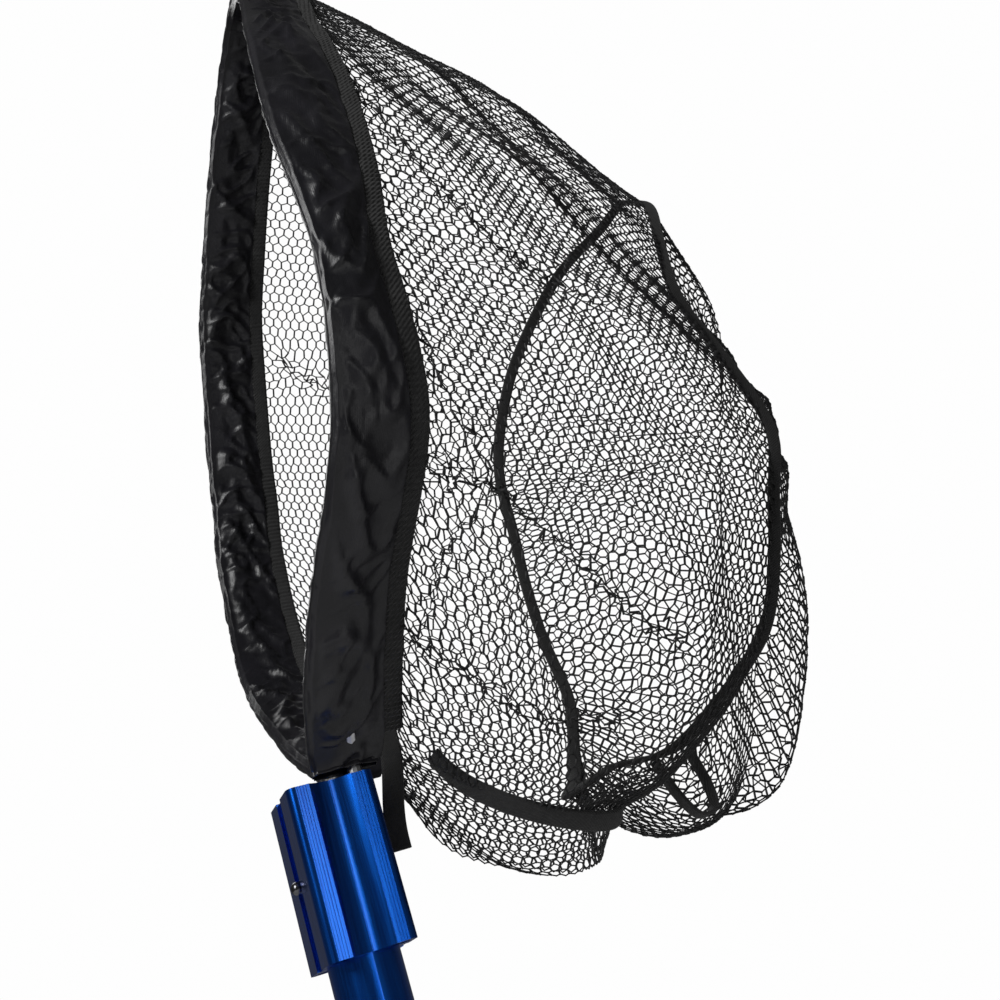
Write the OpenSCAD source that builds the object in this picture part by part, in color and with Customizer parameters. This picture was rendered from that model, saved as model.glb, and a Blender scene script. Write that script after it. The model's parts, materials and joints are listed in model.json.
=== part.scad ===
// Hand net with a bent rod hoop, a fabric rim sleeve, a knitted net bag,
// an extruded yoke and a two-stage telescopic handle with a twist lock.
// Z runs up the handle; the origin is the centre of the hang hole.
// The bag hangs towards +Y and the hoop spreads along X.

/* [Handle] */
// Outer diameter of the inner (upper) tube
pole_d = 31.75; // [30:0.05:32.2]
// Wall of both tubes
tube_wall = 1.25; // [1:0.05:1.6]
// Height of the outer tube's top above the hang hole
handle_top = 366; // [320:1:366]
// Length of the foam grip
grip_len = 150; // [100:5:180]
// Outer diameter of the foam grip
grip_d = 45; // [44:1:50]
// Radius of the hang hole
hang_r = 5; // [3:0.5:6]

/* [Yoke] */
// Height of the yoke's top face above the hang hole
yoke_top = 500; // [500:5:560]
// Length of the yoke along the handle
yoke_len = 73; // [66:1:80]
// Yoke size across the two ribbed faces
yoke_x = 45; // [44:0.5:48]
// Yoke size across the two button sides
yoke_y = 39; // [38.5:0.5:42]
// Diameter of the ball button
button_d = 5.8; // [5:0.1:6.4]

/* [Hoop and sleeve] */
// Diameter of the hoop rod
rod_d = 7; // [6:0.1:7]
// Width of the fabric sleeve from its fold to its seam
sleeve_w = 31.5; // [30:0.5:33]
// Thickness of the sleeve over the rod
sleeve_t = 11.5; // [10.5:0.5:14]
// Width of the overlocked seam strip
strip_w = 7.5; // [6:0.5:9]

/* [Net] */
// Thickness of the net's closed stand-in shell
net_t = 1.6; // [1.2:0.1:2]
// How far the belly of the bag sags below a straight line
bag_sag = 52; // [36:1:56]
// How far the sides of the bag swell
bag_swell = 12; // [0:1:16]

/* [Hidden] */
$fn = 64;

pole_r = pole_d / 2;
pole_ir = pole_r - tube_wall;
outer_ir = pole_r + 0.075;
outer_r = outer_ir + tube_wall + 0.3;
rod_r = rod_d / 2;
leg_x = 15.8;
leg_y = 13.4;
channel_r = rod_r + 0.1;
button_z = yoke_top - 38;
fold_y = -sleeve_t / 2 - 0.75;
seam_y = fold_y + sleeve_w;
strip_y = seam_y + 0.3;
net_y = strip_y + strip_w + 0.3;

// Half of the hoop's route, from a leg's end up to the apex, above the yoke's top face.
half_route = [[leg_x, leg_y, -66], [leg_x, leg_y, -33], [leg_x, leg_y, 0], [leg_x, leg_y, 7],
    [26, 12, 16], [50, 9, 33], [81, 8, 60], [114, 10, 88], [135, 14, 120], [146, 17, 150], [149, 20, 185],
    [147, 24, 215], [143, 27, 245], [131, 33, 295], [117, 38, 335], [96, 45, 370], [76, 53, 405],
    [54, 61, 437], [30, 68, 463], [0, 72, 476]];
NR = len(half_route);
route = [for (i = [0:2 * NR - 2]) i < NR ? half_route[i]
    : let (p = half_route[2 * NR - 2 - i]) [-p[0], p[1], p[2]]];

// Outline of the end panel from the belly up, one row a station: half width, y, height above
// the yoke's top. The far edge is pulled in towards the hoop, as a slack bag hangs.
near_rows = [[26, 128, -28], [44, 162, -26], [64, 205, 4], [75, 228, 45], [78, 246, 85], [77, 256, 120],
    [72, 250, 165], [63, 246, 208], [47, 266, 255], [26, 284, 300], [0, 289, 322]];
far_rows = [[26, 126, -28], [50, 150, -8], [66, 165, 30], [72, 167, 75], [72, 169, 120], [71, 174, 170],
    [66, 191, 220], [55, 215, 260], [38, 248, 296], [18, 276, 316], [0, 289, 322]];

function clampi(i, n) = max(0, min(n - 1, i));
function cr(l, u) = let (n = len(l), i = floor(min(u, n - 1.0001)), f = u - i,
    a = l[clampi(i - 1, n)], b = l[clampi(i, n)], c = l[clampi(i + 1, n)], d = l[clampi(i + 2, n)])
    0.5 * (2 * b + (c - a) * f + (2 * a - 5 * b + 4 * c - d) * f * f + (3 * b - a - 3 * c + d) * f * f * f);
function unit(v) = v / norm(v);
function tangent(l, u) = unit(cr(l, min(u + 0.05, len(l) - 1)) - cr(l, max(u - 0.05, 0)));

// Sections of a sweep: q[0] is outwards in the hoop's plane, q[1] is along Y.
function ring(l, u, sec, k = 1) = let (p = cr(l, u), t = tangent(l, u),
    n = unit(cross([0, 1, 0], t)))
    [for (q = sec) p + n * q[0] * k + [0, q[1], 0] + [0, 0, yoke_top]];

module skin(rings, closed = false) {
    m = len(rings[0]);
    n = len(rings);
    one = [for (j = [0:m - 1]) 1];
    side = [for (i = [0:(closed ? n - 1 : n - 2)]) for (j = [0:m - 1])
        let (a = i * m + j, b = i * m + (j + 1) % m, c = ((i + 1) % n) * m + (j + 1) % m, d = ((i + 1) % n) * m + j)
        each [[a, b, c], [a, c, d]]];
    ends = closed ? [] : [one * rings[0] / m, one * rings[n - 1] / m];
    caps = closed ? [] : [for (j = [0:m - 1]) each [[(j + 1) % m, j, n * m], [(n - 1) * m + j, (n - 1) * m + (j + 1) % m, n * m + 1]]];
    polyhedron(points = concat([for (r = rings) each r], ends), faces = concat(side, caps), convexity = 8);
}

function round_sec(r, n) = [for (i = [0:n - 1]) [r * cos(i * 360 / n), -r * sin(i * 360 / n)]];

module tube(r1, r2, z1, z2) {
    translate([0, 0, z1]) difference() {
        cylinder(r = r2, h = z2 - z1);
        translate([0, 0, -1]) cylinder(r = r1, h = z2 - z1 + 2);
    }
}

module end_cap() {
    color([0.05, 0.05, 0.055]) difference() {
        union() {
            translate([0, 4, 0]) rotate([90, 0, 0]) cylinder(r = 10.5, h = 8);
            translate([-10.5, -4, 0]) cube([21, 8, 15]);
            translate([0, 0, 14]) cylinder(r = outer_r, h = 6);
            translate([0, 0, 19]) cylinder(r = outer_ir - 0.1, h = 26);
        }
        translate([0, 6, 0]) rotate([90, 0, 0]) cylinder(r = hang_r, h = 12);
        translate([0, 0, 26]) cylinder(r = 11, h = 30);
        translate([0, 20, 36]) rotate([90, 0, 0]) cylinder(r = 2.05, h = 40);
    }
}

module cap_rivet() {
    color([0.6, 0.6, 0.62]) translate([0, 0, 36]) {
        translate([0, outer_r, 0]) rotate([90, 0, 0]) cylinder(r = 1.95, h = 2 * outer_r);
    }
}

module handle_tube() {
    color([0.03, 0.03, 0.035]) difference() {
        tube(outer_ir, outer_r, 20.1, handle_top);
        translate([0, 20, 36]) rotate([90, 0, 0]) cylinder(r = 2.05, h = 40);
    }
}

module handle_grip() {
    g0 = 44;
    e = min(2, (grip_d / 2 - outer_r - 0.1) / 2);
    color([0.07, 0.07, 0.075]) rotate_extrude($fn = 48) difference() {
        union() {
            translate([outer_r + 0.1, g0]) square([grip_d / 2 - outer_r - 0.1 - e, grip_len]);
            translate([outer_r + 0.1, g0 + e]) square([grip_d / 2 - outer_r - 0.1, grip_len - 2 * e]);
            translate([grip_d / 2 - e, g0 + e]) circle(r = e);
            translate([grip_d / 2 - e, g0 + grip_len - e]) circle(r = e);
        }
        for (i = [0:5]) translate([grip_d / 2 + 0.6, g0 + 22 + i * 21]) circle(r = 1.8);
    }
}

module lock_base() {
    color([0.05, 0.05, 0.055]) difference() {
        union() {
            tube(outer_r + 0.02, 21, handle_top - 30, handle_top);
            tube(outer_r + 0.02, 23.5, handle_top - 34, handle_top - 26);
        }
        for (i = [0:2]) translate([0, 0, handle_top - 19 + i * 6])
            rotate_extrude() translate([21.3, 0]) circle(r = 0.8);
    }
}

module lock_collet() {
    color([0.75, 0.75, 0.72]) difference() {
        tube(pole_r + 0.08, 18.4, handle_top + 0.1, handle_top + 15);
        for (i = [0:2]) translate([0, 0, handle_top + 4]) rotate([0, 0, 60 * i])
            translate([-20, -0.8, 0]) cube([40, 1.6, 12]);
    }
}

module lock_nut() {
    color([0.05, 0.05, 0.055]) difference() {
        translate([0, 0, handle_top - 25.7]) cylinder(r = 24, h = 44.7);
        translate([0, 0, handle_top - 27]) cylinder(r = 21.1, h = 27.2);
        translate([0, 0, handle_top - 1]) cylinder(r = 18.5, h = 16.2);
        translate([0, 0, handle_top]) cylinder(r = 16.3, h = 30);
        for (i = [0:15]) rotate([0, 0, i * 22.5]) translate([25.6, 0, handle_top - 19])
            cylinder(r = 2.6, h = 32);
    }
}

module pole_tube() {
    color([0.05, 0.25, 0.75]) difference() {
        tube(pole_ir, pole_r, 60, yoke_top - 3);
        translate([0, 20, button_z]) rotate([90, 0, 0]) cylinder(r = button_d / 2 + 0.08, h = 40);
    }
}

module tube_guide() {
    color([0.85, 0.85, 0.82]) difference() {
        union() {
            translate([0, 0, 54]) cylinder(r = pole_r, h = 5.9);
            translate([0, 0, 58]) cylinder(r = pole_ir - 0.05, h = 18);
        }
        translate([0, 0, 50]) cylinder(r = 10, h = 30);
    }
}

module yoke_outline() {
    x = yoke_x / 2;
    y = yoke_y / 2;
    difference() {
        union() {
            square([2 * x - 8, 2 * y], center = true);
            square([2 * x, 2 * y - 8], center = true);
            for (i = [-1, 1]) for (j = [-1, 1]) translate([i * (x - 4), j * (y - 4)]) circle(r = 4);
        }
        // valley between the two lobes of each ribbed face
        for (i = [-1, 1]) translate([i * (x + 11.5), 0]) circle(r = 15);
        // hairline down each valley
        for (i = [-1, 1]) translate([i * (x - 3.6), 0]) square([0.8, 0.5], center = true);
        // side grooves that the ball buttons stand in
        for (j = [-1, 1]) translate([0, j * y]) square([9, 3], center = true);
        // fine grip ribs on the lobes
        for (i = [-1, 1]) for (j = [-1, 1]) for (k = [0:3])
            translate([i * x, j * (11.4 + 1.3 * k)]) square([0.8, 0.6], center = true);
        // hollow lobes on the side away from the bag
        for (i = [-1, 1]) translate([i * leg_x, -leg_y]) circle(r = channel_r);
    }
}

module yoke() {
    color([0.03, 0.3, 0.85]) difference() {
        translate([0, 0, yoke_top - yoke_len]) linear_extrude(yoke_len) yoke_outline();
        translate([0, 0, yoke_top - yoke_len - 1]) cylinder(r = pole_r + 0.075, h = yoke_len + 2);
        for (i = [-1, 1]) translate([i * leg_x, leg_y, yoke_top - yoke_len - 1])
            cylinder(r = channel_r, h = yoke_len + 2);
        translate([0, 30, button_z]) rotate([90, 0, 0]) cylinder(r = button_d / 2 + 0.08, h = 60);
        for (i = [-1, 1]) translate([i * leg_x, 30, yoke_top - 22]) rotate([90, 0, 0])
            cylinder(r = 2.5, h = 30 - leg_y);
    }
}

module leg_screws() {
    color([0.3, 0.3, 0.32]) for (i = [-1, 1]) translate([i * leg_x, yoke_y / 2 - 0.2, yoke_top - 22])
        rotate([90, 0, 0]) difference() {
            cylinder(r = 2.45, h = yoke_y / 2 - 0.2 - leg_y - rod_r - 0.02);
            translate([0, 0, -1]) cylinder(r = 1.25, h = 2.2, $fn = 6);
        }
}

module hoop_rod() {
    color([0.5, 0.5, 0.52])
        skin([for (i = [0:96]) ring(route, i * (len(route) - 1) / 96, round_sec(rod_r, 12))]);
}

module snap_spring() {
    t = 0.8;
    y1 = pole_ir - 1.1;
    z1 = 12;
    z0 = -44;
    color([0.6, 0.6, 0.6]) translate([-4, 0, button_z]) rotate([90, 0, 90]) linear_extrude(8) {
        difference() {
            polygon([[y1, z1], [y1, -8], [3, z0], [-3, z0], [-y1, -8], [-y1, z1]]);
            polygon([[y1 - t, z1 + 1], [y1 - t, -7.8], [2.4, z0 + t], [-2.4, z0 + t], [-y1 + t, -7.8],
                [-y1 + t, z1 + 1]]);
        }
    }
}

module snap_button() {
    b0 = pole_ir - 0.9;
    b1 = yoke_y / 2 + 0.6;
    color([0.25, 0.26, 0.28]) translate([0, 0, button_z]) {
        translate([0, b1, 0]) rotate([90, 0, 0]) cylinder(r = button_d / 2, h = b1 - b0);
        translate([0, b1, 0]) sphere(r = button_d / 2);
    }
}

module snap_button_left() { mirror([0, 1, 0]) snap_button(); }
module snap_button_right() { snap_button(); }

// Fabric folded round the rod: a round nose that tapers to the seam.
h = sleeve_t / 2;
sleeve_sec = [[0, fold_y], [h * 0.7, fold_y * 0.72], [h, -0.4], [h * 0.92, 7], [h * 0.66, 16], [2.4, seam_y],
    [-2.4, seam_y], [-h * 0.66, 16], [-h * 0.92, 7], [-h, -0.4], [-h * 0.7, fold_y * 0.72]];
strip_sec = [[1.7, strip_y], [1.7, strip_y + strip_w], [-1.7, strip_y + strip_w], [-1.7, strip_y]];
u_start = 3.9;
u_apex = NR - 1;
rings_half = 44;

module sleeve_half() {
    difference() {
        skin([for (i = [0:rings_half]) ring(route, u_start + (u_apex - 0.02 - u_start) * i / rings_half, sleeve_sec)]);
        skin([for (i = [0:56]) ring(route, u_start - 0.5 + (u_apex + 0.6 - u_start) * i / 56,
            round_sec(rod_r + 0.35, 12))]);
    }
}
module strip_half() {
    skin([for (i = [0:rings_half]) ring(route, u_start + (u_apex - 0.02 - u_start) * i / rings_half, strip_sec)]);
}

module sleeve_near() { color([0.02, 0.02, 0.022]) sleeve_half(); }
module sleeve_far() { color([0.02, 0.02, 0.022]) mirror([1, 0, 0]) sleeve_half(); }
module seam_strip_near() { color([0.03, 0.03, 0.03]) strip_half(); }
module seam_strip_far() { color([0.03, 0.03, 0.03]) mirror([1, 0, 0]) strip_half(); }

// The bag is a loft from the rim to the end panel's outline.
NS = 24;
NV = 8;
function rim_at(i) = cr(route, u_start + (u_apex - u_start) * i / NS) + [0, net_y, 0];
function edge_at(i, side) = let (l = side > 0 ? near_rows : far_rows) cr(l, (len(l) - 1) * i / NS);
function wall_at(i, v, side) = let (a = rim_at(i), b = edge_at(i, side), f = i / NS, s = sin(180 * v),
    low = max(0, 1 - f / 0.45), p = a * (1 - v) + b * v)
    [side * (p[0] + bag_swell * s * (1 - f)),
     p[1] + (side > 0 ? 6 : 28) * sin(180 * v * v) * low,
     p[2] - (side > 0 ? bag_sag - 16 : bag_sag) * pow(s, 1 - 0.65 * low) * low * (2 - low)
        + 26 * s * max(0, f - 0.55) / 0.45 + yoke_top];
function wall_ring(v, k = 0) = let (all = concat([for (i = [0:NS]) wall_at(i, v, 1)],
        [for (i = [NS - 1:-1:0]) wall_at(i, v, -1)]),
    mid = [0, 0, (all[0][2] + all[NS][2]) / 2])
    [for (p = all) p - unit([p[0], 0, p[2] - mid[2]]) * k];

module net_wall() {
    color([0.04, 0.04, 0.04]) skin(concat(
        [for (j = [0:NV]) wall_ring(j / NV, 0)],
        [for (j = [NV:-1:0]) wall_ring(j / NV, net_t)]), closed = true);
}

panel_mid = [0, 215, 150];
panel_bulge = 70;
// The lower part of the panel hangs out and down below its bound edge.
function panel_ring(k, y) = let (c = panel_mid + [0, 0, yoke_top])
    [for (p = wall_ring(1)) let (z = p[2] - yoke_top, low = max(0, min(1, (120 - z) / 120)),
        droop = max(0, min(1, (40 - z) / 70)))
        c + (p - c) * k + [0, y + panel_bulge * (1 - k * k) + 8 * low * sin(180 * k), -78 * droop * sin(180 * k * k)]];

module net_end_panel() {
    ks = [1, 0.93, 0.85, 0.75, 0.65, 0.52, 0.4, 0.27, 0.15];
    n = len(ks) - 1;
    color([0.04, 0.04, 0.04]) skin(concat(
        [for (i = [n:-1:0]) panel_ring(ks[i], 0.6)],
        [for (i = [0:n]) panel_ring(ks[i], 0.6 + net_t)]));
}

module panel_binding() {
    a = wall_ring(1, -0.4);
    b = wall_ring(1, -2.6);
    n = len(a);
    color([0.015, 0.015, 0.015]) skin([for (i = [0:n - 1])
        [a[i] - [0, 3.5, 0], a[i] + [0, 3.5, 0], b[i] + [0, 3.5, 0], b[i] - [0, 3.5, 0]]], closed = true);
}

// Bound seam along the near edge of the belly, from the yoke end of the rim to the end panel.
function belly(v) = wall_at(0, v, 1) - [0, 0, 1.2];
module gusset_binding() {
    color([0.015, 0.015, 0.015]) skin([for (j = [0:16]) let (p = belly(0.03 + 0.9 * j / 16))
        [p + [4, 0, 0], p + [-4, 0, 0], p + [-4, 0, -2], p + [4, 0, -2]]]);
}

module seam_tail() {
    color([0.015, 0.015, 0.015]) skin([for (j = [0:4]) let (z = yoke_top - 2 - 8 * j, y = 36 - 1.6 * j)
        [[1, y + 4.5, z], [-1, y + 4.5, z], [-1, y - 4.5, z], [1, y - 4.5, z]]]);
}

// Folded tape loop at the lower corner of the end panel.
loop_route = [[34, 148, -36], [36, 151, -48], [38, 157, -60], [41, 164, -59], [43, 164, -48], [44, 160, -36]];
module pull_loop() {
    color([0.015, 0.015, 0.015]) skin([for (j = [0:20]) let (u = j / 4, p = cr(loop_route, u), t = tangent(loop_route, u),
        n = unit(cross([1, 0, 0], t)) * 0.8) [p + [3, 0, 0] + n, p + [-3, 0, 0] + n, p + [-3, 0, 0] - n, p + [3, 0, 0] - n]
        + [for (k = [0:3]) [0, 0, yoke_top]]]);
}

end_cap();
cap_rivet();
handle_tube();
handle_grip();
lock_base();
lock_collet();
lock_nut();
pole_tube();
tube_guide();
yoke();
leg_screws();
hoop_rod();
snap_spring();
snap_button_left();
snap_button_right();
sleeve_near();
sleeve_far();
seam_strip_near();
seam_strip_far();
net_wall();
net_end_panel();
panel_binding();
gusset_binding();
seam_tail();
pull_loop();
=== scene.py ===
import json
import math

import bpy
import numpy as np
from mathutils import Matrix, Vector, noise


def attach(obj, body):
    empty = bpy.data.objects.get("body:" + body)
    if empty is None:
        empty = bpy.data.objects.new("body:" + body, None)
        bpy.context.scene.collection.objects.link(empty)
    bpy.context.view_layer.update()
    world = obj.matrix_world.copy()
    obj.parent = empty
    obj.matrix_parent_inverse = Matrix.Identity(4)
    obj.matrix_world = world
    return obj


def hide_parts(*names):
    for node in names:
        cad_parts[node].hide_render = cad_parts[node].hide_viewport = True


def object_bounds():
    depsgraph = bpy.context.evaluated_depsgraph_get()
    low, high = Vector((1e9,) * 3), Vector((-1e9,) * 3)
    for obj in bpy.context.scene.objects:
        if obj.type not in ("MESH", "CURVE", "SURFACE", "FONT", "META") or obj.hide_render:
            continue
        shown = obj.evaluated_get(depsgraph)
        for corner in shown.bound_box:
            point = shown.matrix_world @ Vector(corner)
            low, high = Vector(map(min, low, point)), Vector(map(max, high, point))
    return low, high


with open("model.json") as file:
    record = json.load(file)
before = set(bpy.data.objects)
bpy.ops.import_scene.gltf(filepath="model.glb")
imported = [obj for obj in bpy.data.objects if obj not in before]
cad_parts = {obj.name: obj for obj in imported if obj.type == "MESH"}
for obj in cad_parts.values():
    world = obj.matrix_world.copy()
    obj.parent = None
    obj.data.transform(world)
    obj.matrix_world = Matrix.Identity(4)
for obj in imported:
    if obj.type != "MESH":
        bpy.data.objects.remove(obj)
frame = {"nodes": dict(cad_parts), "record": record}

CAD_BOX = [list(v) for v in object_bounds()]
MM = 0.001
TOP = 500.0  # height of the yoke's top face, mm

# ---------------------------------------------------------------- camera and light
right = Vector((0.3167, 0.8971, -0.3082))
down = Vector((-0.4607, -0.1385, -0.8767))
ahead = Vector((-0.8291, 0.4196, 0.3694))
cam_data = bpy.data.cameras.new("camera")
cam_data.sensor_width = 36.0
cam_data.lens = 43.2
cam_data.clip_start = 0.01
cam = bpy.data.objects.new("camera", cam_data)
bpy.context.scene.collection.objects.link(cam)
rot = Matrix((right, -down, -ahead)).transposed().to_4x4()
cam.matrix_world = Matrix.Translation((0.5305, -0.135, 0.3913)) @ rot
bpy.context.scene.camera = cam
bpy.context.scene.view_settings.view_transform = "Standard"


def area_light(name, pos, target, size, power, colour=(1, 1, 1)):
    d = bpy.data.lights.new(name, "AREA")
    d.shape = "RECTANGLE"
    d.size, d.size_y = size
    d.energy = power
    d.color = colour
    o = bpy.data.objects.new(name, d)
    bpy.context.scene.collection.objects.link(o)
    o.location = pos
    o.rotation_mode = "QUATERNION"
    o.rotation_quaternion = (Vector(target) - Vector(pos)).to_track_quat("-Z", "Y")
    return o


area_light("key", (0.75, -1.0, 1.35), (0, 0.05, 0.65), (0.35, 0.9), 17)
area_light("fill", (1.4, 0.25, 0.35), (0, 0.1, 0.6), (0.25, 1.0), 2)
area_light("back", (-1.1, 0.2, 1.4), (0, 0.1, 0.7), (0.8, 0.8), 6)
world = bpy.data.worlds.new("studio")
bpy.context.scene.world = world
world.use_nodes = True
wn = world.node_tree
bg = wn.nodes["Background"]
bg.inputs["Color"].default_value = (1, 1, 1, 1)
path = wn.nodes.new("ShaderNodeLightPath")
mul = wn.nodes.new("ShaderNodeMath")
mul.operation = "MULTIPLY_ADD"
mul.inputs[1].default_value = 0.92
mul.inputs[2].default_value = 0.07
wn.links.new(path.outputs["Is Camera Ray"], mul.inputs[0])
wn.links.new(mul.outputs[0], bg.inputs["Strength"])


# ---------------------------------------------------------------- materials
def new_mat(name):
    m = bpy.data.materials.new(name)
    m.use_nodes = True
    return m, m.node_tree, m.node_tree.nodes["Principled BSDF"]


def node(nt, kind, **sets):
    n = nt.nodes.new(kind)
    for k, v in sets.items():
        if hasattr(n, k):
            setattr(n, k, v)
        else:
            n.inputs[k.replace("_", " ")].default_value = v
    return n


def coords(nt, uv=False, scale=(1, 1, 1)):
    tc = nt.nodes.new("ShaderNodeTexCoord")
    mp = nt.nodes.new("ShaderNodeMapping")
    mp.inputs["Scale"].default_value = scale
    nt.links.new(tc.outputs["UV" if uv else "Object"], mp.inputs["Vector"])
    return mp.outputs["Vector"]


def noise_tex(nt, vec, scale, detail=4, rough=0.6):
    n = nt.nodes.new("ShaderNodeTexNoise")
    n.inputs["Scale"].default_value = scale
    n.inputs["Detail"].default_value = detail
    n.inputs["Roughness"].default_value = rough
    nt.links.new(vec, n.inputs["Vector"])
    return n.outputs["Fac"]


def ramp(nt, fac, stops):
    r = nt.nodes.new("ShaderNodeValToRGB")
    els = r.color_ramp.elements
    els[0].position, els[0].color = stops[0][0], (*stops[0][1], 1)
    els[1].position, els[1].color = stops[-1][0], (*stops[-1][1], 1)
    for p, c in stops[1:-1]:
        e = els.new(p)
        e.color = (*c, 1)
    nt.links.new(fac, r.inputs["Fac"])
    return r.outputs["Color"]


def mapped(nt, fac, lo, hi):
    r = nt.nodes.new("ShaderNodeMapRange")
    r.inputs["To Min"].default_value = lo
    r.inputs["To Max"].default_value = hi
    nt.links.new(fac, r.inputs["Value"])
    return r.outputs["Result"]


def bump(nt, bsdf, height, strength, dist, normal=None):
    b = nt.nodes.new("ShaderNodeBump")
    b.inputs["Strength"].default_value = strength
    b.inputs["Distance"].default_value = dist
    nt.links.new(height, b.inputs["Height"])
    if normal is not None:
        nt.links.new(normal, b.inputs["Normal"])
    nt.links.new(b.outputs["Normal"], bsdf.inputs["Normal"])
    return b.outputs["Normal"]


def wave(nt, vec, scale, direction="X", distortion=0.0):
    w = nt.nodes.new("ShaderNodeTexWave")
    w.bands_direction = direction
    w.inputs["Scale"].default_value = scale
    w.inputs["Distortion"].default_value = distortion
    nt.links.new(vec, w.inputs["Vector"])
    return w.outputs["Fac"]


def mathn(nt, op, a, b):
    m = nt.nodes.new("ShaderNodeMath")
    m.operation = op
    for i, x in enumerate((a, b)):
        if isinstance(x, (int, float)):
            m.inputs[i].default_value = x
        else:
            nt.links.new(x, m.inputs[i])
    return m.outputs[0]


def mat_nylon():
    m, nt, b = new_mat("sleeve_nylon")
    uv = coords(nt, uv=True)
    obj = coords(nt)
    broad = noise_tex(nt, obj, 22, 3)
    nt.links.new(ramp(nt, broad, [(0.3, (0.006, 0.006, 0.0075)), (0.7, (0.014, 0.0135, 0.017))]), b.inputs["Base Color"])
    nt.links.new(mapped(nt, noise_tex(nt, obj, 60, 5), 0.26, 0.40), b.inputs["Roughness"])
    b.inputs["Specular IOR Level"].default_value = 0.4
    b.inputs["Sheen Weight"].default_value = 0.03
    b.inputs["Sheen Roughness"].default_value = 0.35
    weave = mathn(nt, "MULTIPLY", wave(nt, uv, 620, "X"), wave(nt, uv, 620, "Y"))
    n1 = bump(nt, b, weave, 0.22, 0.00012)
    bump(nt, b, noise_tex(nt, obj, 240, 6, 0.65), 0.28, 0.0008, n1)
    return m


def mat_net():
    m, nt, b = new_mat("net_mesh")
    obj = coords(nt)
    nt.links.new(ramp(nt, noise_tex(nt, obj, 300, 3), [(0.3, (0.004, 0.004, 0.0045)), (0.75, (0.016, 0.016, 0.017))]), b.inputs["Base Color"])
    nt.links.new(mapped(nt, noise_tex(nt, obj, 500, 2), 0.5, 0.75), b.inputs["Roughness"])
    bump(nt, b, noise_tex(nt, obj, 2600, 2), 0.35, 0.0003)
    return m


def mat_tape(name, base, ribs, strength):
    m, nt, b = new_mat(name)
    uv = coords(nt, uv=True)
    obj = coords(nt)
    nt.links.new(ramp(nt, noise_tex(nt, obj, 140, 4), [(0.3, base), (0.8, tuple(2.4 * c for c in base))]), b.inputs["Base Color"])
    nt.links.new(mapped(nt, noise_tex(nt, obj, 400, 2), 0.66, 0.9), b.inputs["Roughness"])
    b.inputs["Sheen Weight"].default_value = 0.1
    n1 = bump(nt, b, wave(nt, uv, ribs, "DIAGONAL", 0.6), strength, 0.0004)
    bump(nt, b, noise_tex(nt, obj, 900, 4), 0.5, 0.0006, n1)
    return m


def mat_anodised(name, dark, light, rough):
    m, nt, b = new_mat(name)
    obj = coords(nt, scale=(1, 1, 0.02))
    fine = noise_tex(nt, obj, 1400, 3)
    nt.links.new(ramp(nt, fine, [(0.35, dark), (0.65, light)]), b.inputs["Base Color"])
    b.inputs["Metallic"].default_value = 1.0
    nt.links.new(mapped(nt, fine, rough * 0.8, rough * 1.25), b.inputs["Roughness"])
    b.inputs["Coat Weight"].default_value = 0.35
    b.inputs["Coat Roughness"].default_value = 0.12
    bump(nt, b, fine, 0.06, 0.0002)
    return m


def mat_metal(name, colour, rough, scale=600):
    m, nt, b = new_mat(name)
    obj = coords(nt)
    n = noise_tex(nt, obj, scale, 4)
    nt.links.new(ramp(nt, n, [(0.3, tuple(0.8 * c for c in colour)), (0.7, colour)]), b.inputs["Base Color"])
    b.inputs["Metallic"].default_value = 1.0
    nt.links.new(mapped(nt, n, rough * 0.7, rough * 1.3), b.inputs["Roughness"])
    bump(nt, b, n, 0.08, 0.0002)
    return m


def mat_plastic(name, colour, rough, grain=900, strength=0.25):
    m, nt, b = new_mat(name)
    obj = coords(nt)
    n = noise_tex(nt, obj, grain, 3)
    nt.links.new(ramp(nt, noise_tex(nt, obj, 30, 3), [(0.3, colour), (0.7, tuple(1.35 * c for c in colour))]), b.inputs["Base Color"])
    nt.links.new(mapped(nt, n, rough * 0.85, rough * 1.1), b.inputs["Roughness"])
    bump(nt, b, n, strength, 0.0004)
    return m


NYLON, NET = mat_nylon(), mat_net()
SEAM = mat_tape("seam_strip", (0.007, 0.007, 0.007), 260, 0.8)
TAPE = mat_tape("binding_tape", (0.005, 0.005, 0.005), 420, 0.6)
BY_SLOT = {
    "blue_anodised": mat_anodised("blue_anodised", (0.003, 0.085, 0.50), (0.007, 0.15, 0.74), 0.23),
    "black_anodised": mat_anodised("black_anodised", (0.016, 0.016, 0.018), (0.035, 0.035, 0.038), 0.32),
    "rod_aluminium": mat_metal("rod_aluminium", (0.72, 0.72, 0.74), 0.35),
    "button_steel": mat_metal("button_steel", (0.16, 0.16, 0.17), 0.24),
    "spring_steel": mat_metal("spring_steel", (0.5, 0.5, 0.52), 0.3),
    "screw_steel": mat_metal("screw_steel", (0.08, 0.08, 0.085), 0.38),
    "black_plastic": mat_plastic("black_plastic", (0.016, 0.016, 0.017), 0.5),
    "natural_plastic": mat_plastic("natural_plastic", (0.6, 0.57, 0.5), 0.42),
    "grip_foam": mat_plastic("grip_foam", (0.018, 0.018, 0.019), 0.85, 1500, 0.8),
    "sleeve_nylon": NYLON, "net_mesh": NET, "seam_strip": SEAM, "binding_tape": TAPE,
}
SLOT_OF = {s["node"]: s["material_slot"] for s in frame["record"]["subparts"]}
for name, obj in frame["nodes"].items():
    obj.data.materials.clear() if not obj.material_slots else None
    m = BY_SLOT[SLOT_OF[name]]
    if obj.material_slots:
        for s in obj.material_slots:
            s.material = m
    else:
        obj.data.materials.append(m)


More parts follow.
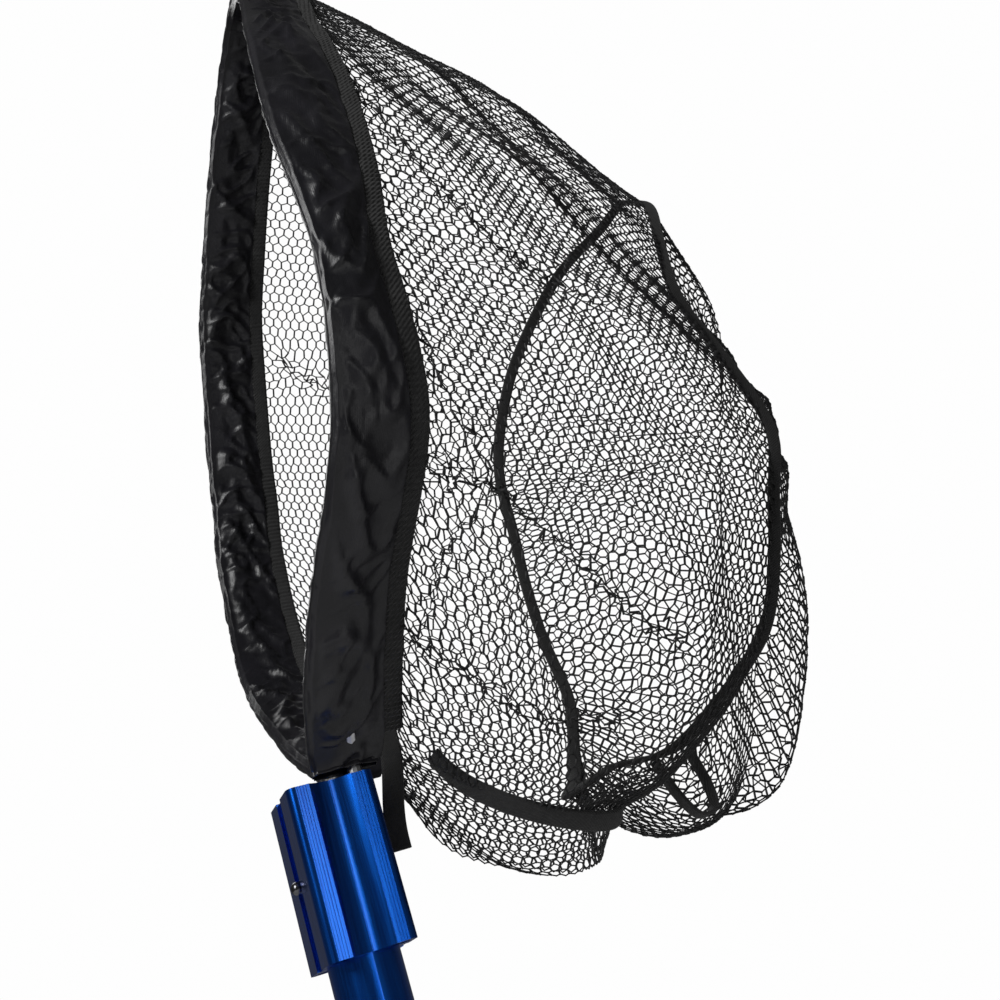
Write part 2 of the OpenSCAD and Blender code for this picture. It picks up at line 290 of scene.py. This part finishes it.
# ---------------------------------------------------------------- curves shared with the CAD model
def cr(rows, u):
    """Catmull-Rom through rows at parameters u, from 0 to len - 1."""
    rows = np.asarray(rows, float)
    n = len(rows)
    u = np.clip(np.asarray(u, float), 0, n - 1.0001)
    i = np.floor(u).astype(int)
    f = (u - i)[..., None]
    a, b, c, d = (rows[np.clip(i + k, 0, n - 1)] for k in (-1, 0, 1, 2))
    return 0.5 * (2 * b + (c - a) * f + (2 * a - 5 * b + 4 * c - d) * f**2 + (3 * b - a - 3 * c + d) * f**3)


HALF = [[15.8, 13.4, -66], [15.8, 13.4, -33], [15.8, 13.4, 0], [15.8, 13.4, 7], [26, 12, 16], [50, 9, 33],
        [81, 8, 60], [114, 10, 88], [135, 14, 120], [146, 17, 150], [149, 20, 185], [147, 24, 215],
        [143, 27, 245], [131, 33, 295], [117, 38, 335], [96, 45, 370], [76, 53, 405], [54, 61, 437],
        [30, 68, 463], [0, 72, 476]]
ROUTE = HALF + [[-x, y, z] for x, y, z in HALF[-2::-1]]
NEAR = [[26, 128, -28], [44, 162, -26], [64, 205, 4], [75, 228, 45], [78, 246, 85], [77, 256, 120],
        [72, 250, 165], [63, 246, 208], [47, 266, 255], [26, 284, 300], [0, 289, 322]]
FAR = [[26, 126, -28], [50, 150, -8], [66, 165, 30], [72, 167, 75], [72, 169, 120], [71, 174, 170],
       [66, 191, 220], [55, 215, 260], [38, 248, 296], [18, 276, 316], [0, 289, 322]]
U0, U1 = 3.9, 19.0
FOLD_Y, SEAM_Y, STRIP_Y, STRIP_W, NET_Y = -6.5, 25.0, 25.3, 7.5, 33.1


def wall(f, v, side):
    """Points of the bag's wall, mm above the yoke's top. f runs from the yoke to the apex, v from rim to panel."""
    f, v = np.broadcast_arrays(np.asarray(f, float), np.asarray(v, float))
    a = cr(ROUTE, U0 + (U1 - U0) * f) + [0, NET_Y, 0]
    rows = NEAR if side > 0 else FAR
    b = cr(rows, (len(rows) - 1) * f)
    s = np.sin(np.pi * v)
    low = np.clip(1 - f / 0.45, 0, None)
    p = a * (1 - v)[..., None] + b * v[..., None]
    return np.stack([
        side * (p[..., 0] + 12 * s * (1 - f)),
        p[..., 1] + (6 if side > 0 else 28) * np.sin(np.pi * v**2) * low,
        p[..., 2] - (36 if side > 0 else 52) * np.clip(s, 0, 1) ** (1 - 0.65 * low) * low * (2 - low) + 26 * s * np.clip(f - 0.55, 0, None) / 0.45], -1)


def ripple(f, v, side):
    """Slack of the net off its smooth surface, mm."""
    k = 0.7 if side > 0 else 1.9
    r = (2.6 * np.sin(17 * f + 5 * v + k) * np.sin(7 * v + 2 * f) + 1.8 * np.sin(31 * f - 9 * v + 2 * k)
         + 1.2 * np.sin(53 * f + 14 * v + 3 * k))
    return r * np.sin(np.pi * np.clip(v, 0, 1)) ** 0.6


# Where the near sleeve's fold and seam lie off their even lines, mm, along the rim.
FOLD_SHIFT = [(0, -13), (0.08, -11), (0.17, -4), (0.25, 1), (0.33, 2), (0.41, 2), (0.5, -4), (0.58, -7), (0.67, -4), (0.78, 0), (1, 0)]
SEAM_SHIFT = [(0, -9), (0.08, -7), (0.17, -3), (0.25, 4), (0.33, -1), (0.41, -5), (0.5, -2), (0.58, 0), (0.7, -2), (0.85, 0), (1, 0)]


def smooth_table(x, rows):
    xs = np.linspace(0, 1, 401)
    ys = np.interp(xs, [r[0] for r in rows], [r[1] for r in rows])
    ys = np.convolve(np.pad(ys, 12, mode="edge"), np.ones(25) / 25, "valid")
    return np.interp(x, xs, ys)


def gathered(f, v, side):
    """Pulls the knit in towards its creases, and returns how close each point is to one."""
    close = np.zeros_like(f)
    for line, width, pull in CREASES[side]:
        line = np.array(line)
        best, bf, bv = np.full(f.shape, 9.0), f.copy(), v.copy()
        for a, b in zip(line[:-1], line[1:]):
            d = b - a
            t = np.clip(((f - a[0]) * 2.0 * d[0] * 2.0 + (v - a[1]) * d[1]) / (4 * d[0] ** 2 + d[1] ** 2), 0, 1)
            qf, qv = a[0] + t * d[0], a[1] + t * d[1]
            dist = np.hypot((f - qf) * 2.0, v - qv)
            hit = dist < best
            best, bf, bv = np.where(hit, dist, best), np.where(hit, qf, bf), np.where(hit, qv, bv)
        g = np.exp(-((best / width) ** 2))
        f, v = f + (bf - f) * pull * g, v + (bv - v) * pull * g
        close = np.maximum(close, g)
    return f, np.clip(v, 0, 1), close


CREASES = {
    1: [([(0.60, 0.0), (0.53, 0.13), (0.49, 0.26), (0.49, 0.50)], 0.035, 0.72),
        ([(0.22, 0.0), (0.24, 0.15), (0.23, 0.28), (0.21, 0.48), (0.2, 0.62)], 0.04, 0.75),
        ([(0.11, 0.0), (0.12, 0.12), (0.11, 0.34), (0.13, 0.52)], 0.045, 0.72),
        ([(0.36, 0.0), (0.29, 0.03), (0.24, 0.15)], 0.03, 0.7)],
    -1: [([(0.2, 0.1), (0.3, 0.35), (0.42, 0.7), (0.49, 0.98)], 0.05, 0.65),
         ([(0.62, 0.1), (0.58, 0.5), (0.5, 0.96)], 0.05, 0.65)],
}


def wall_net(f, v, side):
    p = wall(f, v, side)
    if side > 0:
        p = p + np.stack([0 * p[..., 0], smooth_table(f, SEAM_SHIFT) * (1 - v) ** 3, 0 * p[..., 0]], -1)
    e = 0.004
    df = wall(np.clip(f + e, 0, 1), v, side) - wall(np.clip(f - e, 0, 1), v, side)
    dv = wall(f, np.clip(v + e, 0, 1), side) - wall(f, np.clip(v - e, 0, 1), side)
    n = np.cross(df, dv)
    n /= np.maximum(np.linalg.norm(n, axis=-1, keepdims=True), 1e-9)
    return p + n * ripple(f, v, side)[..., None]


# ---------------------------------------------------------------- mesh helpers
def mesh_object(name, verts, faces, mat, smooth=True, uvs=None):
    me = bpy.data.meshes.new(name)
    v = (np.asarray(verts, float) + [0, 0, TOP]) * MM
    me.from_pydata(v.tolist(), [], faces.tolist() if hasattr(faces, "tolist") else faces)
    if uvs is not None:
        layer = me.uv_layers.new(name="UVMap")
        idx = np.empty(len(me.loops), int)
        me.loops.foreach_get("vertex_index", idx)
        layer.data.foreach_set("uv", np.asarray(uvs, np.float32)[idx].ravel())
    me.materials.append(mat)
    if smooth:
        me.polygons.foreach_set("use_smooth", [True] * len(me.polygons))
    me.update()
    o = bpy.data.objects.new(name, me)
    bpy.context.scene.collection.objects.link(o)
    return o


def hex_lattice(w, h, pitch):
    """Vertices and edges of a hexagonal mesh covering w by h, flat."""
    a = pitch / math.sqrt(3)
    pts, index, edges = [], {}, set()

    def add(x, y):
        key = (round(x / a * 2), round(y / pitch * 2))
        if key not in index:
            index[key] = len(pts)
            pts.append((x, y))
        return index[key]

    for j in range(int(h / pitch) + 3):
        for i in range(int(w / (1.5 * a)) + 3):
            cx, cy = i * 1.5 * a, (j + 0.5 * (i % 2)) * pitch
            ring = [add(cx + a * math.cos(math.radians(60 * k)), cy + a * math.sin(math.radians(60 * k))) for k in range(6)]
            for k in range(6):
                edges.add(tuple(sorted((ring[k], ring[(k + 1) % 6]))))
    return np.array(pts), np.array(sorted(edges))


def strands(name, pts, edges, flat, mat):
    """A closed five-sided strand of yarn along every edge. The knit's pillars are thicker than its cross yarns."""
    a, b = pts[edges[:, 0]], pts[edges[:, 1]]
    lay = np.abs(flat[edges[:, 1]] - flat[edges[:, 0]])
    t = b - a
    ln = np.linalg.norm(t, axis=1, keepdims=True)
    keep = ln[:, 0] > 0.3
    a, b, t, ln, lay = a[keep], b[keep], t[keep], ln[keep], lay[keep]
    r = np.where(lay[:, 0] > 1.7 * lay[:, 1], PILLAR, YARN)[:, None]
    t = t / ln
    a, b = a - t * r * 0.6, b + t * r * 0.6
    up = np.where(np.abs(t[:, 2:3]) < 0.9, [[0, 0, 1.0]], [[1.0, 0, 0]])
    n = np.cross(t, up)
    n /= np.linalg.norm(n, axis=1, keepdims=True)
    m = np.cross(t, n)
    ring = [n * math.cos(2 * math.pi * k / 5) + m * math.sin(2 * math.pi * k / 5) for k in range(5)]
    v = np.stack([a + ring[k] * r for k in range(5)] + [b + ring[k] * r for k in range(5)], 1)
    base = (np.arange(len(a)) * 10)[:, None]
    faces = []
    for k in range(5):
        faces.append(base + np.array([[k, (k + 1) % 5, 5 + (k + 1) % 5, 5 + k]]))
    quads = np.concatenate(faces).tolist()
    caps = (base + np.array([[4, 3, 2, 1, 0]])).tolist() + (base + np.array([[5, 6, 7, 8, 9]])).tolist()
    return mesh_object(name, v.reshape(-1, 3), quads + caps, mat)


def swept(name, centre, outward, across, section, mat, closed=False):
    """A section of (outward, across) pairs carried along centre."""
    c, o, y = (np.asarray(x, float) for x in (centre, outward, across))
    sec = np.asarray(section, float)
    if sec.ndim == 2:
        sec = np.broadcast_to(sec, (len(c), *sec.shape))
    v = c[:, None] + o[:, None] * sec[..., :1] + y[:, None] * sec[..., 1:]
    n, m = v.shape[:2]
    step = np.concatenate([[0], np.cumsum(np.linalg.norm(np.diff(c, axis=0), axis=1))])
    round_it = np.concatenate([[0], np.cumsum(np.linalg.norm(np.diff(sec[0], axis=0), axis=1))])
    uv = np.stack(np.broadcast_arrays(step[:, None] * MM, round_it[None] * MM), -1).reshape(-1, 2)
    i, j = np.meshgrid(np.arange(n if closed else n - 1), np.arange(m), indexing="ij")
    f = np.stack([i * m + j, i * m + (j + 1) % m, (i + 1) % n * m + (j + 1) % m, (i + 1) % n * m + j], -1).reshape(-1, 4).tolist()
    if not closed:
        f += [list(range(m - 1, -1, -1)), [(n - 1) * m + k for k in range(m)]]
    return mesh_object(name, v.reshape(-1, 3), f, mat, uvs=uv)


def arc_table(points):
    return np.concatenate([[0], np.cumsum(np.linalg.norm(np.diff(points, axis=0), axis=1))])


# ---------------------------------------------------------------- net wall
PITCH, YARN, PILLAR = 6.3, 0.36, 0.56
rng = np.random.default_rng(7)
for side, name, cad in ((1, "net_wall_near", "net_wall"), (-1, "net_wall_far", "net_wall")):
    fs = np.linspace(0, 1, 400)
    mid = arc_table(wall(fs, np.full(400, 0.5), side))
    rim = arc_table(wall(fs, np.zeros(400), side))
    arc = 0.5 * mid + 0.5 * rim * mid[-1] / rim[-1]
    deep = np.mean([arc_table(wall(np.full(60, f), np.linspace(0, 1, 60), side))[-1] for f in (0.15, 0.3, 0.5, 0.7)])
    W, H = 1.03 * (mid[-1] + rim[-1]) / 2, 1.04 * deep
    flat, edges = hex_lattice(W, H, PITCH)
    flat = flat + rng.normal(0, 0.22, flat.shape)
    inside = (flat[:, 0] > -1) & (flat[:, 0] < W + 1) & (flat[:, 1] > -1) & (flat[:, 1] < H + 1)
    edges = edges[inside[edges].all(1)]
    f = np.interp(np.clip(flat[:, 0] / W, 0, 1) * arc[-1], arc, fs)
    v = np.clip(flat[:, 1] / H, 0, 1)
    f, v, close = gathered(f, v, side)
    pts = wall_net(f, v, side) + rng.normal(0, 1, (len(f), 3)) * (0.15 + 1.1 * close)[:, None]
    o = strands(name, pts, edges, flat, NET)
    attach(o, "head")

# strands that close the belly between the two halves, in front of the gusset tape
fv = np.linspace(0.0, 1.0, 44)
near0, far0 = wall_net(np.zeros(44), fv, 1), wall_net(np.zeros(44), fv, -1)
cols = np.linspace(0, 1, 9)
grid = near0[None] * (1 - cols)[:, None, None] + far0[None] * cols[:, None, None]
flat, edges = hex_lattice(8, 43, 1.5)
inside = (flat[:, 0] >= 0) & (flat[:, 0] <= 8) & (flat[:, 1] >= 0) & (flat[:, 1] <= 43)
edges = edges[inside[edges].all(1)]
cx, cy = np.clip(flat[:, 0], 0, 7.999), np.clip(flat[:, 1], 0, 42.999)
ix, iy = cx.astype(int), cy.astype(int)
wx, wy = (cx - ix)[:, None], (cy - iy)[:, None]
pts = ((grid[ix, iy] * (1 - wx) + grid[ix + 1, iy] * wx) * (1 - wy)
       + (grid[ix, iy + 1] * (1 - wx) + grid[ix + 1, iy + 1] * wx) * wy)
belly = strands("net_wall_belly", pts, edges, flat, NET)
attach(belly, "head")

# ---------------------------------------------------------------- net end panel
fs = np.linspace(0, 1, 160)
loop = np.concatenate([wall(fs, np.ones(160), 1), wall(fs[::-1][1:], np.ones(159), -1)])
C = np.array([0, 215.0, 150.0])
BULGE = 70.0
ang = np.unwrap(np.arctan2(loop[:, 2] - C[2], loop[:, 0]))
order = np.argsort(ang)
ang_s = ang[order]
R_s = np.hypot(loop[order, 0], loop[order, 2] - C[2])
Y_s = loop[order, 1]


def at_angle(t, values):
    return np.interp(np.mod(t - ang_s[0], 2 * np.pi) + ang_s[0], np.append(ang_s, ang_s[0] + 2 * np.pi), np.append(values, values[0]))


def panel(th, k):
    """Points of the end panel at an angle round its middle and a share k of the way out to its bound edge."""
    th, k = np.broadcast_arrays(th, k)
    R, Y = at_angle(th, R_s), at_angle(th, Y_s)
    z = C[2] + R * np.sin(th)
    low, droop = np.clip((120 - z) / 120, 0, 1), np.clip((40 - z) / 70, 0, 1)
    soft = 3.0 * np.sin(9 * th + 5 * k) * np.sin(np.pi * k) + 2.0 * np.sin(23 * th - 7 * k) * np.sin(np.pi * k) ** 2
    return np.stack([R * k * np.cos(th),
                     C[1] + (Y - C[1]) * k + 1.4 + BULGE * (1 - k**2) + 8 * low * np.sin(np.pi * k) + soft,
                     C[2] + R * k * np.sin(th) - 78 * droop * np.sin(np.pi * k**2) + 0.6 * soft], -1)


thetas, ks = np.linspace(-np.pi, np.pi, 361), np.linspace(0, 1, 80)
grid3 = panel(thetas[:, None], ks[None])
rho = np.concatenate([np.zeros((361, 1)), np.cumsum(np.linalg.norm(np.diff(grid3, axis=1), axis=2), 1)], 1)
big = rho[:, -1].max()
flat, edges = hex_lattice(2 * big, 2 * big, PITCH)
flat = flat - big + rng.normal(0, 0.22, flat.shape)
th = np.arctan2(flat[:, 1], flat[:, 0])
rr = np.hypot(flat[:, 0], flat[:, 1])
edge_r = np.interp(th, thetas, rho[:, -1])
inside = rr < edge_r * 1.01
edges = edges[inside[edges].all(1)]
row = np.clip(np.round((th + np.pi) / (2 * np.pi) * 360).astype(int), 0, 360)
k = np.array([np.interp(min(r, e), rho[i], ks) for r, e, i in zip(rr, edge_r, row)])
pts = panel(th, k)
end_panel = strands("net_end_panel_yarn", pts, edges, flat, NET)
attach(end_panel, "head")
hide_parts("net_end_panel")
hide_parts("net_wall")

# ---------------------------------------------------------------- tapes
def flat_round(w, t, n=5):
    """Rounded flat tape section, w across and t thick."""
    out = []
    for s in (1, -1):
        for k in range(n):
            a = math.radians(-90 + 180 * k / (n - 1)) if s > 0 else math.radians(90 + 180 * k / (n - 1))
            out.append((t / 2 * math.sin(a), s * (w / 2 - t / 2) + t / 2 * math.cos(a)))
    return out


def frames(c, across, closed):
    t = np.roll(c, -1, 0) - np.roll(c, 1, 0) if closed else np.gradient(c, axis=0)
    t /= np.linalg.norm(t, axis=1, keepdims=True)
    y = across - t * (across * t).sum(1, keepdims=True)
    y /= np.linalg.norm(y, axis=1, keepdims=True)
    return np.cross(y, t), y


fs = np.linspace(0, 1, 220)
loop = np.concatenate([wall(fs, np.ones(220), 1), wall(fs[::-1][1:-1], np.ones(218), -1)])
wob = np.arange(len(loop))
loop = loop + np.stack([0.7 * np.sin(wob * 0.21), 0.9 * np.sin(wob * 0.13 + 1), 0.7 * np.cos(wob * 0.17)], -1)
out, acr = frames(loop, np.tile([0, 1.0, 0], (len(loop), 1)), True)
binding = swept("panel_binding_tape", loop, out, acr, flat_round(7.0, 2.6), TAPE, closed=True)
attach(binding, "head"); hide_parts("panel_binding")

vs = np.linspace(0.02, 0.97, 120)
belly_line = wall(np.zeros(120), vs, 1) + [0, 0, -1.6]
out, acr = frames(belly_line, np.tile([0.75, 0, 0.66], (120, 1)), False)
gusset = swept("gusset_binding_tape", belly_line, out, acr, flat_round(10.5, 2.2), TAPE)
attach(gusset, "head"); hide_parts("gusset_binding")

ts = np.linspace(0, 1, 40)
tail_line = np.stack([1.5 * np.sin(5 * ts), 37 - 7.5 * ts + 1.2 * np.sin(6 * ts), 26 - 60 * ts], -1)
out, acr = frames(tail_line, np.tile([0.15, 1.0, 0], (40, 1)), False)
tail = swept("seam_tail_tape", tail_line, out, acr, flat_round(10.0, 2.2), TAPE)
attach(tail, "head"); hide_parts("seam_tail")

pull_line = cr([[34, 147, -31], [36, 151, -48], [38, 157, -60], [41, 164, -59], [43, 164, -48], [44, 160, -31]], np.linspace(0, 5, 60))
out, acr = frames(pull_line, np.tile([1.0, 0, 0], (60, 1)), False)
pull = swept("pull_loop_tape", pull_line, out, acr, flat_round(8.0, 1.8), TAPE)
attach(pull, "head"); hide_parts("pull_loop")


# ---------------------------------------------------------------- sleeve
def crease(s, q, seed, fine):
    """Height of the creases at s along and q across the sleeve, mm."""
    w = noise.noise((s * 0.011 + seed, q * 0.03, 1.7))
    a = noise.noise((s * 0.021 * fine + 1.3 * w, q * 0.045 + s * 0.016, seed + 5.1))
    b = noise.noise((s * 0.05 * fine + 1.6 * w, q * 0.075 - s * 0.03, seed + 9.3))
    c = noise.noise((s * 0.11 * fine, q * 0.14 + 1.4 * a, seed + 3.3))
    d = noise.noise((s * 0.26, q * 0.3, seed + 7.7))
    ridge = (1 - min(1, 2.4 * abs(a))) ** 2 * 3.4 + (1 - min(1, 3.0 * abs(b))) ** 2 * 2.0 - 1.6
    return ridge + 1.3 * c + 0.45 * d


def sleeve(name, side, seed, amp, fine, cad):
    n, m, half = 640, 56, 28
    u = np.concatenate([np.linspace(2.2, U0, 40)[:-1], np.linspace(U0, U1 + 0.16, n - 39)])
    c = cr(ROUTE, u)
    t = cr(ROUTE, np.minimum(u + 0.05, 37.9)) - cr(ROUTE, np.maximum(u - 0.05, 0))
    t /= np.linalg.norm(t, axis=1, keepdims=True)
    o = np.cross([0, 1.0, 0], t)
    o /= np.linalg.norm(o, axis=1, keepdims=True)
    s = arc_table(c)
    f = np.clip((u - U0) / (U1 - U0), 0, 1)
    fold = np.full(n, FOLD_Y) + (smooth_table(f, FOLD_SHIFT) if side > 0 else -2 + 2 * f)
    seam = np.full(n, SEAM_Y) + (smooth_table(f, SEAM_SHIFT) if side > 0 else 0)
    seam = np.where(u < U0, SEAM_Y - 9 * (side > 0) - 3 * (U0 - u), seam)
    sec = np.zeros((n, m, 2))
    for j in range(m):
        k = j / half if j < half else (m - j) / half
        q = 0.5 - 0.5 * math.cos(math.pi * min(1, k))
        sgn = 1 if j < half else -1
        thick = 5.4 * (math.sin(math.pi * min(1, (q + 0.004) / 0.34) / 2) ** 0.7 if q < 0.34 else 1 - 0.62 * ((q - 0.34) / 0.66) ** 1.2)
        fade = math.sin(math.pi * min(1, max(0.0, 0.04 + 0.94 * q))) ** 0.5
        for i in range(n):
            h = amp * crease(s[i], q * 32 + (0 if sgn > 0 else 40), seed, fine) * fade
            sec[i, j] = (sgn * max(4.3 if 0.03 < q < 0.42 else 1.3, thick + h), fold[i] + (seam[i] - fold[i]) * q + 0.5 * h * (1 - q))
    pinch = np.clip(0.85 + 0.15 * (u - 2.2) / 1.7, 0, 1)
    sec[..., 0] *= np.where(np.abs(sec[..., 0]) > 0, pinch[:, None], 1)
    mid = np.stack([np.zeros(n), (fold + seam) / 2], -1)[:, None]
    d = sec - mid
    inner = mid + d * (1 - 0.45 / np.maximum(np.linalg.norm(d, axis=-1, keepdims=True), 1))
    c, o = c.copy(), o.copy()
    c[:, 0] *= side
    o[:, 0] *= side
    y = np.array([0, 1.0, 0])
    v = np.concatenate([(c[:, None] + o[:, None] * k[..., :1] + y * k[..., 1:]).reshape(-1, 3) for k in (sec, inner)])
    i, j = np.meshgrid(np.arange(n - 1), np.arange(m), indexing="ij")
    q = np.stack([i * m + j, i * m + (j + 1) % m, (i + 1) * m + (j + 1) % m, (i + 1) * m + j], -1).reshape(-1, 4)
    k = np.arange(m)
    k2 = (k + 1) % m
    lo = np.stack([k + n * m, k2 + n * m, k2, k], -1)
    hi = np.stack([k, k2, k2 + n * m, k + n * m], -1) + (n - 1) * m
    faces = np.concatenate([q, q[:, ::-1] + n * m, lo, hi])
    if side < 0:
        faces = faces[:, ::-1]
    round_it = np.linspace(0, 0.068, m)
    uv = np.stack(np.broadcast_arrays(s[:, None] * MM, round_it[None]), -1).reshape(-1, 2)
    ob = mesh_object(name, v, faces, NYLON, uvs=np.concatenate([uv, uv]))
    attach(ob, "head"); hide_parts(cad)
    return ob


near_sleeve = sleeve("sleeve_near_nylon", 1, 3.0, 1.0, 1.0, "sleeve_near")
far_sleeve = sleeve("sleeve_far_nylon", -1, 31.0, 1.15, 1.5, "sleeve_far")


def strip(name, side, seed, cad):
    n, m = 700, 12
    u = np.linspace(U0, U1, n)
    c = cr(ROUTE, u)
    t = cr(ROUTE, np.minimum(u + 0.05, 37.9)) - cr(ROUTE, np.maximum(u - 0.05, 0))
    t /= np.linalg.norm(t, axis=1, keepdims=True)
    o = np.cross([0, 1.0, 0], t)
    o /= np.linalg.norm(o, axis=1, keepdims=True)
    s = arc_table(c)
    base = np.array(flat_round(STRIP_W + 2.5, 3.4, 6))
    shift = smooth_table((u - U0) / (U1 - U0), SEAM_SHIFT) if side > 0 else np.zeros(n)
    sec = np.zeros((n, m, 2))
    for i in range(n):
        for j in range(m):
            r = 1 + 0.32 * noise.noise((s[i] * 0.9, j * 0.8, seed)) + 0.18 * math.sin(s[i] * 2 * math.pi / 2.6)
            sec[i, j] = (base[j, 0] * r, STRIP_Y + STRIP_W / 2 + shift[i] + base[j, 1] * (1 + 0.05 * noise.noise((s[i] * 0.5, j, seed + 4))))
    c[:, 0] *= side
    o[:, 0] *= side
    ob = swept(name, c, o, np.tile([0, 1.0, 0], (n, 1)), sec if side > 0 else sec[:, ::-1], SEAM)
    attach(ob, "head"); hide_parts(cad)
    return ob


strip("seam_strip_near_overlock", 1, 2.0, "seam_strip_near")
strip("seam_strip_far_overlock", -1, 12.0, "seam_strip_far")

# ---------------------------------------------------------------- floor
floor_mesh = bpy.data.meshes.new("floor")
floor_mesh.from_pydata([(1.3 * math.cos(math.radians(5 * k)), 1.3 * math.sin(math.radians(5 * k)), 0) for k in range(72)], [], [tuple(range(72))])
floor = bpy.data.objects.new("floor", floor_mesh)
bpy.context.scene.collection.objects.link(floor)
floor.location.z = CAD_BOX[0][2] - 0.0005
fm, fnt, fb = new_mat("floor")
fnt.links.new(ramp(fnt, noise_tex(fnt, coords(fnt), 3, 3), [(0.3, (0.88, 0.88, 0.88)), (0.7, (0.91, 0.91, 0.91))]), fb.inputs["Base Color"])
fb.inputs["Roughness"].default_value = 0.9
floor_mesh.materials.append(fm)
